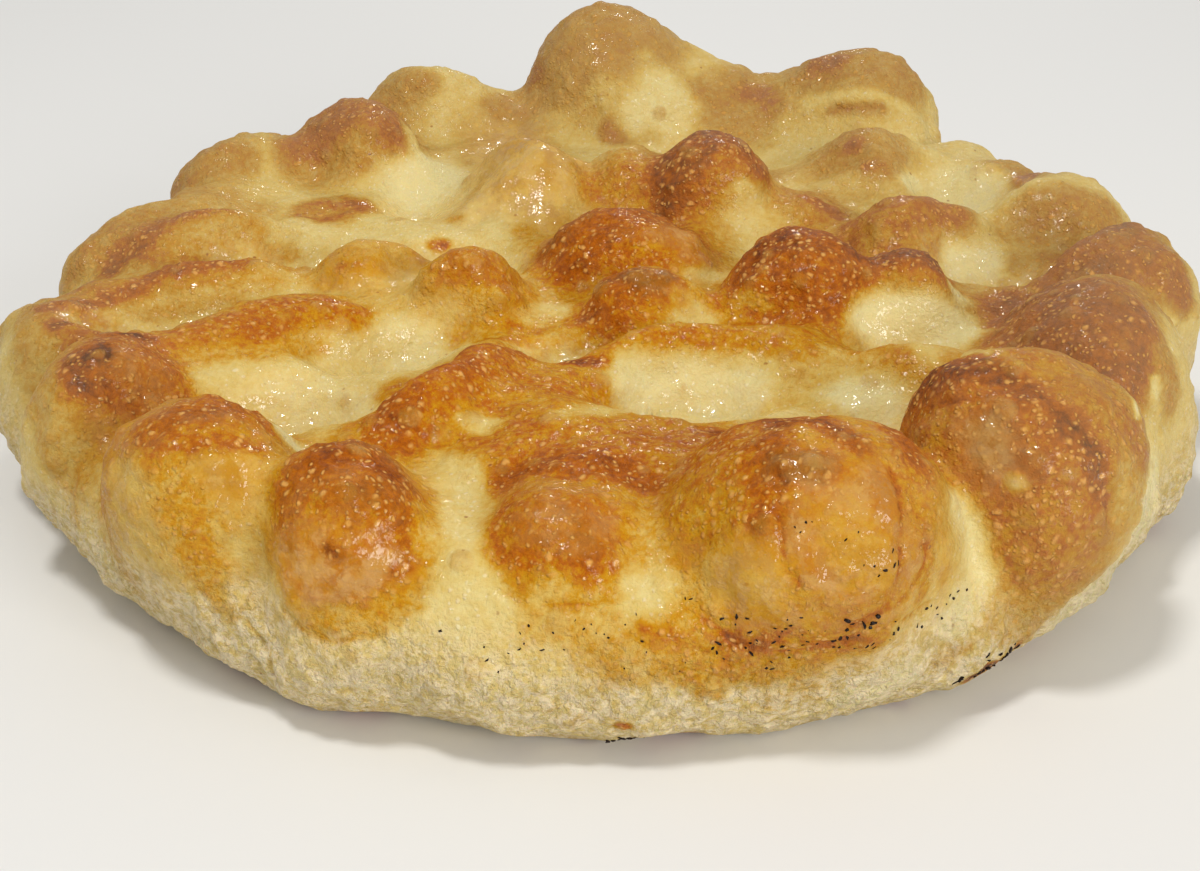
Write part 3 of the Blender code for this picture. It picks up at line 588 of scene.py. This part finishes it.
def bakeOf(points):  # how brown and how thin the crust is at each point, from 0 to 1
    moved = shifted(points)
    brown = np.zeros(len(points))
    film = np.zeros(len(points))
    for bubble in bubbles.values():
        near = aroundBubble(moved, bubble, 2 * baking["glowEdge"])
        field, local = bubbleField(moved[near], bubble)
        unit = local / np.maximum(np.linalg.norm(local, axis=1), 1e-6)[:, None]
        cos, sin = math.cos(math.radians(bubble.turn)), math.sin(math.radians(bubble.turn))
        pole = np.array(Vector((bubble.leanX, bubble.leanY, 1.0)).normalized())
        pole = np.array((cos * pole[0] + sin * pole[1], cos * pole[1] - sin * pole[0], pole[2]))
        onIt = np.exp(-((np.maximum(field, 0) / baking["capEdge"]) ** 2))
        towards = unit @ pole
        capLow, capHigh = (bubble.pale + step for step in baking["capSpan"])
        cap = onIt * smoothStep(capLow, capHigh, towards)
        glow = np.exp(-((np.maximum(field, 0) / baking["glowEdge"]) ** 2))
        glowLow, glowHigh = (bubble.pale + step for step in baking["glowSpan"])
        glow *= baking["glow"] * smoothStep(glowLow, glowHigh, towards)
        brown[near] = np.maximum(brown[near], bubble.bake * np.maximum(cap, glow))
        film[near] = np.maximum(film[near], bubble.film * onIt)
    pressed = np.zeros(len(points))
    for dimple in dimples.values():
        near = aroundDimple(moved, dimple, 3 * baking["pressEdge"])
        away = np.maximum(dimpleField(moved[near], dimple), 0)
        pressed[near] = np.maximum(pressed[near], np.exp(-((away / baking["pressEdge"]) ** 2)))
    brown = np.maximum(baking["least"], brown * (1 - baking["pressed"] * pressed))
    film *= 1 - pressed
    wandered = points.copy()
    for axis in range(3):
        for size, reach in baking["wander"]:
            wandered[:, axis] += reach * noiseAt(points, size, seed=size + 9 * axis, octaves=2)
    for stain in stains.values():
        corners = np.array(stain.path, float)
        least, most = corners.min(axis=0), corners.max(axis=0)
        reach = baking["stainEdge"][0] * stain.radius
        near = within(wandered, (most + least) / 2, (most - least) / 2 + reach)
        lies = smoothStep(*baking["stainEdge"], pathDistance(wandered[near], stain.path) / stain.radius)
        brown[near] = brown[near] * (1 - lies) + stain.bake * lies
        film[near] = film[near] * (1 - lies) + stain.film * lies
    return brown, film, pressed


# What the fine skin is made of, in millimetres
skin = {
    "blisters": 1700,
    "blisterRadius": (0.9, 2.6),
    "blisterHeight": 0.26,  # for each millimetre of radius
    "blisterChance": 0.1,  # how likely one is on pale dough; browning adds to it
    "blisterLowest": 8,
    "blisterSmallness": 2.5,
    "blisterRoundness": 0.7,
    "skinLumps": ((7.0, 0.40), (3.0, 0.30)),  # size and height
    "wallLumps": ((6.0, 0.80), (2.6, 0.50)),  # the coarser side wall
    "wallStray": (16.0, 4.0),  # how unevenly it ends: size and reach
    "wallSlopes": (0.75, 0.35),  # how much it faces up where it starts and is in full
    "wallHeights": (31, 12),
    "creaseDepth": 0.5,
    "creaseWidth": 0.6,
    "creaseWobble": (4.0, 0.6),  # size and reach
    "creaseBrown": 0.15,
    "lyingSlopes": (-0.6, -0.9),
    "paintedShadeMiddle": (-12, -62),  # the painted shade darkens and dulls the crust away from here
    "paintedShadeDepth": 0.72,
    "paintedShadeFrom": (45, 125),
    "farBrown": 0.66,  # the sides that face away brown as unevenly as the near ones
    "farLean": 0.55,
    "farSlopes": (0, 0.25),
    "farHeights": (8, 36),
    "farPatch": 24.0,
    "farPatchEdge": (-0.9, 0.7),
    "triangles": 190000,
}

# Round blisters that stand out: radius and place
blisters = (
    (1.7, (4, -94, 38)), (2.2, (5, -101, 37)), (2.2, (2, -109, 34)), (2.2, (-9, -112, 33)),
    (2.2, (0, -48, 35)), (3.0, (36, -45, 35)), (2.3, (-70, -101, 34)), (1.8, (7, -89, 38)),
    (1.4, (16, -108, 40)), (1.4, (31, -119, 37)), (1.6, (37, -119, 37)), (1.6, (21, -106, 46)),
    (1.6, (-7, -66, 39)), (1.6, (-23, -65, 39)), (1.4, (-15, -72, 37)), (1.6, (66, -97, 41)),
    (1.8, (-35, -105, 41)), (1.4, (-40, -112, 30)), (1.6, (-47, -109, 36)), (2.0, (83, -28, 42)),
    (1.8, (87, -43, 49)), (1.6, (16, -118, 13)), (1.4, (8, -119, 16)), (1.4, (0, -119, 18)),
)

# Creases where thin skin has folded, by their paths
creases = {
    "bigFold": ((18, -95, 46), (25, -101, 49), (28, -111, 48)),
    "bigRing": (
        (45, -106, 48), (46, -110, 44), (46, -114, 40), (45, -116, 35), (43, -118, 30), (38, -119, 27)),
    "bigOuterRing": ((50, -110, 39), (50, -112, 35), (48, -114, 32), (45, -117, 30)),
    "bigFront": ((30, -119, 35), (28, -118, 39), (27, -116, 42), (27, -114, 44)),
    "bigBase": (
        (16, -116, 27), (22, -117, 23), (31, -117, 22), (38, -118, 25), (46, -115, 26), (53, -108, 25)),
    "middleBase": ((-50, -109, 25), (-47, -111, 21), (-41, -113, 21), (-33, -114, 23), (-27, -113, 28)),
    "leftLobe": ((-57, -104, 19), (-55, -105, 16), (-54, -107, 14), (-53, -107, 9)),
    "rightFold": ((71, -89, 52), (77, -93, 48), (81, -97, 41), (82, -97, 32)),
    "rightInner": ((54, -83, 47), (58, -86, 50), (63, -88, 51)),
    "browInner": ((-90, -50, 44), (-87, -56, 45), (-87, -62, 41), (-86, -64, 38)),
    "farSliver": ((55, 83, 43), (62, 81, 45), (68, 80, 45)),
    "discBase": ((-16, -112, 30), (-11, -115, 29), (-5, -115, 29), (1, -114, 29)),
}


def addBlisters(points, bake):
    draw = random.Random(11)
    low, high = skin["blisterRadius"]
    tree = kdtree.KDTree(len(points))
    for index, place in enumerate(points):
        tree.insert(place, index)
    tree.balance()
    height = np.zeros(len(points))
    wanted = [(radius, Vector(place)) for radius, place in blisters]
    while len(wanted) < skin["blisters"]:
        start = draw.randrange(len(points))
        if draw.random() < skin["blisterChance"] + bake[start] and points[start][2] > skin["blisterLowest"]:
            radius = low + (high - low) * draw.random() ** skin["blisterSmallness"]
            wanted.append((radius, Vector(points[start])))
    for radius, place in wanted:
        middle = tree.find(place)[0]
        for _, index, distance in tree.find_range(middle, radius):
            dome = max(1 - (distance / radius) ** 2, 0)
            tall = skin["blisterHeight"] * radius * dome ** skin["blisterRoundness"]
            height[index] = max(height[index], tall)
    return height


def addFineRelief(bread):
    points = readPoints(bread.data)
    normals = readNormals(bread.data)
    bake, film, pressed = bakeOf(points)
    blister = addBlisters(points, bake)
    size, reach = skin["wallStray"]
    edge = reach * noiseAt(points, size, seed=41)
    wall = smoothStep(*skin["wallSlopes"], normals[:, 2])
    wall *= smoothStep(*skin["wallHeights"], points[:, 2] + edge)
    crease = np.zeros(len(points))
    size, reach = skin["creaseWobble"]
    wobble = np.stack([noiseAt(points, size, seed=30 + axis, octaves=2) for axis in range(3)], axis=1)
    wobbled = points + reach * wobble
    for path in creases.values():
        crease = np.maximum(crease, np.exp(-((pathDistance(wobbled, path) / skin["creaseWidth"]) ** 2)))
    height = blister - skin["creaseDepth"] * crease
    for (size, tall), (wallSize, wallTall) in zip(skin["skinLumps"], skin["wallLumps"]):
        height += tall * (1 - wall) * noiseAt(points, size, seed=size)
        height += wallTall * wall * noiseAt(points, wallSize, seed=wallSize)
    lying = smoothStep(*skin["lyingSlopes"], normals[:, 2])
    points += normals * (height * (1 - lying))[:, None]
    points[:, 2] = np.maximum(points[:, 2], 0)
    writePoints(bread.data, points)
    for size, depth in baking["mottle"]:
        bake = bake + depth * noiseAt(points, size, seed=size) * smoothStep(*baking["mottleFrom"], bake)
    bake = bake + skin["creaseBrown"] * crease
    film = film * (1 - crease)
    # painted shade: the crust is darker and duller away from the near middle
    middleX, middleY = skin["paintedShadeMiddle"]
    away = np.hypot(points[:, 0] - middleX, (points[:, 1] - middleY) * skin["paintedShadeDepth"])
    paintedShade = smoothStep(*skin["paintedShadeFrom"], away)
    far = smoothStep(*skin["farSlopes"], normals[:, 1] - skin["farLean"] * normals[:, 2])
    far *= smoothStep(*skin["farHeights"], points[:, 2])
    patches = smoothStep(*skin["farPatchEdge"], noiseAt(points, skin["farPatch"], seed=51))
    bake = np.maximum(bake, skin["farBrown"] * far * patches)
    # the values ride along when the mesh is thinned
    values = {
        "bake": np.clip(bake, 0, 1), "film": film, "blister": blister, "wall": wall,
        "damp": pressed, "paintedShade": paintedShade, "lying": lying,
    }
    for name, value in values.items():
        layer = bread.data.attributes.new(name, "FLOAT", "POINT")
        layer.data.foreach_set("value", value.astype(np.float32))
    print("relief: up to", round(float(height.max()), 2), "mm")


def thinSkin(bread):  # fewer faces where the crust is smooth
    onlySelect(bread)
    split = bread.modifiers.new("splitFaces", "TRIANGULATE")
    bpy.ops.object.modifier_apply(modifier=split.name)
    before = len(bread.data.polygons)
    thin = bread.modifiers.new("thinSkin", "DECIMATE")
    thin.ratio = min(1.0, skin["triangles"] / before)
    thin.use_collapse_triangulate = True
    bpy.ops.object.modifier_apply(modifier=thin.name)
    print("skin thinned from", before, "to", len(bread.data.polygons), "triangles")


# Charred crumbs: half their size in millimetres, how many lie at a place, how far apart, and the places
Crumbs = namedtuple("Crumbs", "size each spread places")

crumbs = (
    Crumbs(0.20, 2, 1.6, (
        (5, -116, 27), (-19, -117, 23), (-12, -117, 25), (-10, -116, 26), (-8, -116, 26), (-4, -116, 26),
        (-1, -117, 26), (2, -117, 25), (-14, -117, 23), (-7, -117, 23), (-16, -119, 19), (14, -113, 30),
        (12, -118, 20), (23, -117, 22), (28, -118, 26), (33, -119, 27), (31, -119, 26), (42, -118, 37),
        (32, -114, 44), (38, -116, 42), (28, -115, 42), (6, -119, 23), (4, -119, 19), (-24, -115, 24))),
    Crumbs(0.30, 4, 2.2, (
        (19, -117, 22), (23, -117, 23), (26, -118, 26), (29, -119, 29), (25, -117, 20), (41, -117, 23),
        (46, -116, 25), (51, -109, 23), (54, -107, 23), (43, -118, 36), (45, -116, 38), (22, -117, 27),
        (33, -118, 23), (37, -117, 24), (29, -118, 23), (58, -104, 24))),
    Crumbs(0.45, 5, 1.6, (
        (37, -118, 25), (39, -119, 27), (41, -118, 28), (64, -103, 11), (67, -100, 10), (65, -99, 6),
        (62, -101, 6), (68, -98, 9), (59, -104, 7), (4, -116, 3), (2, -115, 2), (6, -114, 2))),
)

# How the crumbs vary, in parts of their size
flake = {
    "sizes": (0.6, 1.3),
    "lengths": (0.9, 2.0),
    "widths": (0.5, 0.9),
    "height": 0.5,
    "unevenness": 0.25,
}


def addCrumbs(bread):  # small flat flakes, sunk halfway into the crust
    draw = random.Random(21)
    tree = kdtree.KDTree(len(bread.data.vertices))
    for vertex in bread.data.vertices:
        tree.insert(vertex.co, vertex.index)
    tree.balance()
    flakes = bmesh.new()
    for group in crumbs:
        for place in [place for place in group.places for _ in range(group.each)]:
            offset = Vector([draw.gauss(0, group.spread / 2) for _ in range(3)])
            nearest = bread.data.vertices[tree.find((Vector(place) + offset) * mm)[1]]
            size = group.size * draw.uniform(*flake["sizes"])
            spin = Matrix.Rotation(draw.uniform(0, math.tau), 4, "Z")
            length = size * draw.uniform(*flake["lengths"])
            width = size * draw.uniform(*flake["widths"])
            stretch = Matrix.Diagonal((length, width, size * flake["height"], 1.0))
            lie = nearest.normal.to_track_quat("Z", "Y").to_matrix().to_4x4()
            where = Matrix.Translation(nearest.co) @ lie @ spin @ Matrix.Scale(mm, 4) @ stretch
            made = bmesh.ops.create_icosphere(flakes, subdivisions=1, radius=1.0, matrix=where)["verts"]
            stray = flake["unevenness"]
            for vertex in made:
                vertex.co += Vector([draw.uniform(-stray, stray) * size * mm for _ in range(3)])
    mesh = bpy.data.meshes.new("flakes")
    flakes.to_mesh(mesh)
    flakes.free()
    layer = mesh.attributes.new("char", "FLOAT", "POINT")
    layer.data.foreach_set("value", np.ones(len(mesh.vertices), np.float32))
    mesh.shade_smooth()
    loose = bpy.data.objects.new("flakes", mesh)
    bpy.context.scene.collection.objects.link(loose)
    onlySelect(loose)
    bread.select_set(True)
    bpy.context.view_layer.objects.active = bread
    bpy.ops.object.join()


# Colours of the baked dough as seen in even light, 0 to 255, besides a painted shade tint and a white that
# also paints glints
crust = {
    "pale": (228, 212, 150),
    "straw": (216, 184, 98),
    "amber": (200, 143, 16),
    "russet": (180, 96, 0),
    "brown": (140, 68, 0),
    "dark": (84, 34, 0),
    "speck": (230, 168, 80),
    # white of the pin blisters, which also paints wet glints on the pale dough
    "pinAndGlintWhite": (250, 240, 208),
    "film": (180, 128, 38),
    "haze": (204, 162, 82),
    "wall": (244, 224, 182),
    # painted shade tint for the outer parts
    "paintedShadeTint": (158, 130, 94),
    "char": (36, 22, 14),
}

# The level of baking at which the crust has each of these colours
browning = {"pale": 0.06, "straw": 0.26, "amber": 0.45, "russet": 0.64, "brown": 0.84, "dark": 1.0}

# How the crust's surface takes the light
finish = {
    "Coat Roughness": 0.08,
    "Coat IOR": 1.7,
    "Roughness": 0.6,
    "Specular IOR Level": 0.1,
    "Subsurface Weight": 0.1,
    "Subsurface Radius": (1.0, 0.45, 0.15),
    "Subsurface Scale": 0.002,
}


def linear(colour):  # from 0-255 as seen to linear light
    shares = [part / 255 for part in crust[colour]]
    return (*[((share + 0.055) / 1.055) ** 2.4 for share in shares], 1.0)


class Nodes:  # adds nodes to a tree and links them in one call
    def __init__(self, tree):
        self.tree = tree

    def feed(self, socket, value):
        if isinstance(value, bpy.types.NodeSocket):
            self.tree.links.new(value, socket)
        else:
            socket.default_value = value

    def add(self, kind, inputs=None, **settings):
        node = self.tree.nodes.new(kind)
        for name, value in settings.items():
            setattr(node, name, value)
        for name, value in (inputs or {}).items():
            self.feed(node.inputs[name], value)
        return node

    def math(self, operation, first, second=0.0, third=0.0):
        return self.add("ShaderNodeMath", {0: first, 1: second, 2: third}, operation=operation).outputs[0]

    def times(self, first, second):
        return self.math("MULTIPLY", first, second)

    def larger(self, first, second):
        return self.math("MAXIMUM", first, second)

    def range(self, value, fromLow, fromHigh, toLow=0.0, toHigh=1.0):
        inputs = {"Value": value, "From Min": fromLow, "From Max": fromHigh}
        inputs |= {"To Min": toLow, "To Max": toHigh}
        return self.add("ShaderNodeMapRange", inputs, interpolation_type="SMOOTHSTEP").outputs["Result"]

    def mix(self, share, first, second):
        node = self.add("ShaderNodeMix", data_type="RGBA")
        for index, value in ((0, share), (6, first), (7, second)):  # the sockets for colours
            self.feed(node.inputs[index], value)
        return node.outputs[2]

    def value(self, name):
        return self.add("ShaderNodeAttribute", attribute_name=name).outputs["Fac"]

    def noise(self, place, size, detail=3.0, roughness=0.6):  # size in millimetres
        inputs = {"Vector": place, "Scale": 1 / (size * mm), "Detail": detail, "Roughness": roughness}
        return self.add("ShaderNodeTexNoise", inputs).outputs["Fac"]

    def bump(self, height, strength, depth):  # depth in millimetres
        inputs = {"Height": height, "Strength": strength, "Distance": depth * mm}
        return self.add("ShaderNodeBump", inputs).outputs["Normal"]

    def dots(self, place, size, few, low, high):  # round dots in a part of the cells, size in millimetres
        cells = self.add("ShaderNodeTexVoronoi", {"Vector": place, "Scale": 1 / (size * mm)})
        pick = self.add("ShaderNodeSeparateColor", {"Color": cells.outputs["Color"]}).outputs["Red"]
        chosen = self.range(pick, few, few + 0.12)
        return self.times(self.range(cells.outputs["Distance"], high, low), chosen)


def crustMaterial():
    material = bpy.data.materials.new("bakedCrust")
    material.use_nodes = True
    tree = material.node_tree
    nodes = Nodes(tree)
    surface = tree.nodes["Principled BSDF"]
    place = nodes.add("ShaderNodeTexCoord").outputs["Object"]
    names = ("bake", "film", "blister", "wall", "damp", "paintedShade", "lying", "char")
    bake, film, blister, wall, damp, paintedShade, lying, char = (nodes.value(name) for name in names)

    # the bake, uneven down to a millimetre
    broad = nodes.noise(place, 5.0, 4.0, 0.62)
    grain = nodes.noise(place, 1.5, 4.0, 0.7)
    fine = nodes.noise(place, 0.8, 4.0, 0.65)
    coarse = nodes.range(broad, 0.25, 0.75, -0.06, 0.06)
    uneven = nodes.math("ADD", coarse, nodes.range(grain, 0.3, 0.7, -0.12, 0.12))
    uneven = nodes.times(uneven, nodes.range(bake, 0.1, 0.7, 0.35, 1.0))
    uneven = nodes.times(uneven, nodes.range(film, 0.2, 0.9, 1.0, 0.4))
    level = nodes.math("ADD", bake, uneven)
    ramp = nodes.add("ShaderNodeValToRGB", {"Fac": level})
    elements = ramp.color_ramp.elements
    while len(elements) < len(browning):
        elements.new(0.5)
    for element, (name, where) in zip(elements, browning.items()):
        element.position = where
        element.color = linear(name)
    colour = ramp.outputs["Color"]

    # pin blisters, paler than the brown around them; their cells are bent so that few are round
    bend = nodes.add("ShaderNodeTexNoise", {"Vector": place, "Scale": 1 / (2.5 * mm), "Detail": 2.0})
    bendReach = (1.6 * mm, 1.6 * mm, 1.6 * mm)
    bending = {0: bend.outputs["Color"], 1: bendReach}
    shift = nodes.add("ShaderNodeVectorMath", bending, operation="MULTIPLY")
    bent = nodes.add("ShaderNodeVectorMath", {0: place, 1: shift.outputs[0]}, operation="ADD").outputs[0]
    pins = nodes.dots(bent, 1.15, 0.35, 0.12, 0.42)
    spots = nodes.dots(bent, 2.1, 0.45, 0.12, 0.40)
    dots = nodes.larger(pins, spots)
    shown = nodes.times(nodes.range(bake, 0.2, 0.7, 0.0, 0.9), nodes.range(film, 0.3, 0.9, 1.0, 0.35))
    colour = nodes.mix(nodes.times(dots, shown), colour, linear("speck"))

    # the pale dough has whiter pin blisters, partly painted wet glints, and small tan flecks
    raw = nodes.range(bake, 0.45, 0.2)
    whitePinsAndGlints = nodes.dots(bent, 1.3, 0.45, 0.10, 0.36)
    colour = nodes.mix(nodes.times(whitePinsAndGlints, nodes.times(raw, 0.35)), colour, linear("pinAndGlintWhite"))
    flecks = nodes.dots(bent, 2.9, 0.80, 0.06, 0.17)
    colour = nodes.mix(nodes.times(flecks, 0.7), colour, linear("brown"))

    # thin raised skin with hazy patches, the floury wall, and painted shade that darkens and greys the outer
    # parts
    streaks = nodes.noise(bent, 9.0, 5.0, 0.7)
    skinColour = nodes.mix(nodes.range(streaks, 0.47, 0.56), linear("film"), linear("haze"))
    thin = nodes.larger(nodes.times(film, 0.7), nodes.range(blister, 0.15, 0.5, 0.0, 0.5))
    thin = nodes.times(thin, nodes.range(broad, 0.3, 0.6, 0.3, 1.0))
    colour = nodes.mix(thin, colour, skinColour)
    floury = nodes.times(wall, nodes.range(nodes.noise(place, 1.8, 4.0, 0.7), 0.4, 0.6, 0.1, 0.95))
    floury = nodes.times(floury, nodes.range(bake, 0.24, 0.42, 1.0, 0.12))
    colour = nodes.mix(floury, colour, linear("wall"))
    # painted shade: the outer parts are darker and greyer, less so on the pin blisters
    paintedShadeShare = nodes.times(paintedShade, nodes.range(bake, 0.15, 0.45, 0.08, 0.5))
    paintedShadeShare = nodes.times(paintedShadeShare, nodes.range(dots, 0.0, 1.0, 1.0, 0.5))
    colour = nodes.mix(paintedShadeShare, colour, linear("paintedShadeTint"))
    toast = nodes.range(nodes.noise(place, 14.0, 4.0, 0.6), 0.45, 0.62, 0.0, 0.85)
    colour = nodes.mix(nodes.times(lying, toast), colour, linear("russet"))
    colour = nodes.mix(char, colour, linear("char"))

    # the fine relief, and the oily wetness over it
    lumps = nodes.range(nodes.noise(bent, 2.2, 4.0, 0.65), 0.35, 0.65, 0.0, 2.2)
    rubble = nodes.times(wall, lumps)
    pebbles = nodes.times(dots, nodes.range(bake, 0.2, 0.5))
    pebbles = nodes.larger(pebbles, nodes.times(whitePinsAndGlints, 0.4))
    pimples = nodes.math("MULTIPLY_ADD", pebbles, 0.7, rubble)
    height = nodes.math("ADD", pimples, nodes.math("MULTIPLY_ADD", grain, 1.2, fine))
    strength = nodes.times(nodes.range(film, 0.3, 0.9, 0.8, 0.35), nodes.range(damp, 0.2, 0.8, 1.0, 0.6))
    bump = nodes.bump(height, strength, 0.6)
    wetBump = nodes.bump(nodes.noise(bent, 1.7, 2.0, 0.5), 0.7, 0.8)
    moist = nodes.larger(damp, nodes.times(film, 0.7))
    moist = nodes.larger(moist, 0.18)
    oily = nodes.times(moist, nodes.range(nodes.noise(place, 2.5, 4.0, 0.7), 0.46, 0.54))
    oily = nodes.larger(oily, nodes.times(pebbles, 0.5))

    tree.links.new(colour, surface.inputs["Base Color"])
    tree.links.new(bump, surface.inputs["Normal"])
    tree.links.new(oily, surface.inputs["Coat Weight"])
    tree.links.new(wetBump, surface.inputs["Coat Normal"])
    for name, value in finish.items():
        surface.inputs[name].default_value = value
    return material


# Studio, in metres: a pale floor, a soft key light from above, a large fill light on the right of the
# camera and a small light behind the bread
studio = {
    "cameraPlace": (0.0, -0.36252, 0.18905),
    "cameraDip": 27.8,  # degrees below level
    "lens": 57.15,
    "sensorWidth": 36.0,
    "clipStart": 0.01,
    "floorSize": 6.0,
    "floorColour": (0.80, 0.80, 0.79, 1.0),
    "floorRoughness": 0.9,
    "airColour": (1.0, 0.99, 0.97, 1.0),
    "airStrength": 0.48,
    "lightAim": (0, 0, 0.03),
}

Light = namedtuple("Light", "place size power colour")

lights = {
    "keyLight": Light((-0.16, -0.22, 0.80), 0.14, 2.9, (1.0, 0.98, 0.94)),
    "fillLight": Light((0.68, -0.92, 0.44), 0.60, 6.4, (1.0, 0.98, 0.95)),
    "farLight": Light((0.10, 0.90, 0.55), 0.12, 1.6, (1.0, 0.98, 0.95)),
}


def makeStudio():
    bpy.ops.mesh.primitive_plane_add(size=studio["floorSize"], location=(0, 0, 0))
    floor = bpy.context.object
    floor.name = "floor"
    material = bpy.data.materials.new("paleFloor")
    material.use_nodes = True
    plain = material.node_tree.nodes["Principled BSDF"]
    plain.inputs["Base Color"].default_value = studio["floorColour"]
    plain.inputs["Roughness"].default_value = studio["floorRoughness"]
    floor.data.materials.append(material)

    for name, wanted in lights.items():
        bpy.ops.object.light_add(type="AREA", location=wanted.place)
        light = bpy.context.object
        light.name = name
        light.data.shape = "DISK"
        light.data.size = wanted.size
        light.data.energy = wanted.power
        light.data.color = wanted.colour
        aim = Vector(studio["lightAim"]) - light.location
        light.rotation_euler = aim.to_track_quat("-Z", "Y").to_euler()

    world = bpy.data.worlds.new("studioAir")
    world.use_nodes = True
    air = world.node_tree.nodes["Background"]
    air.inputs["Color"].default_value = studio["airColour"]
    air.inputs["Strength"].default_value = studio["airStrength"]
    bpy.context.scene.world = world

    bpy.ops.object.camera_add(location=studio["cameraPlace"])
    camera = bpy.context.object
    camera.name = "camera"
    dip = math.radians(studio["cameraDip"])
    camera.rotation_euler = Vector((0, math.cos(dip), -math.sin(dip))).to_track_quat("-Z", "Y").to_euler()
    camera.data.lens = studio["lens"]
    camera.data.sensor_width = studio["sensorWidth"]
    camera.data.clip_start = studio["clipStart"]
    bpy.context.scene.camera = camera
    bpy.context.scene.view_settings.view_transform = "Standard"
    print("studio ready")


def makeBread():
    bread = makeSkin()
    addFineRelief(bread)
    thinSkin(bread)
    addCrumbs(bread)
    bread.data.shade_smooth()
    bread.data.materials.clear()
    bread.data.materials.append(crustMaterial())
    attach(bread, "root")
    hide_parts("focaccia")


makeStudio()
makeBread()
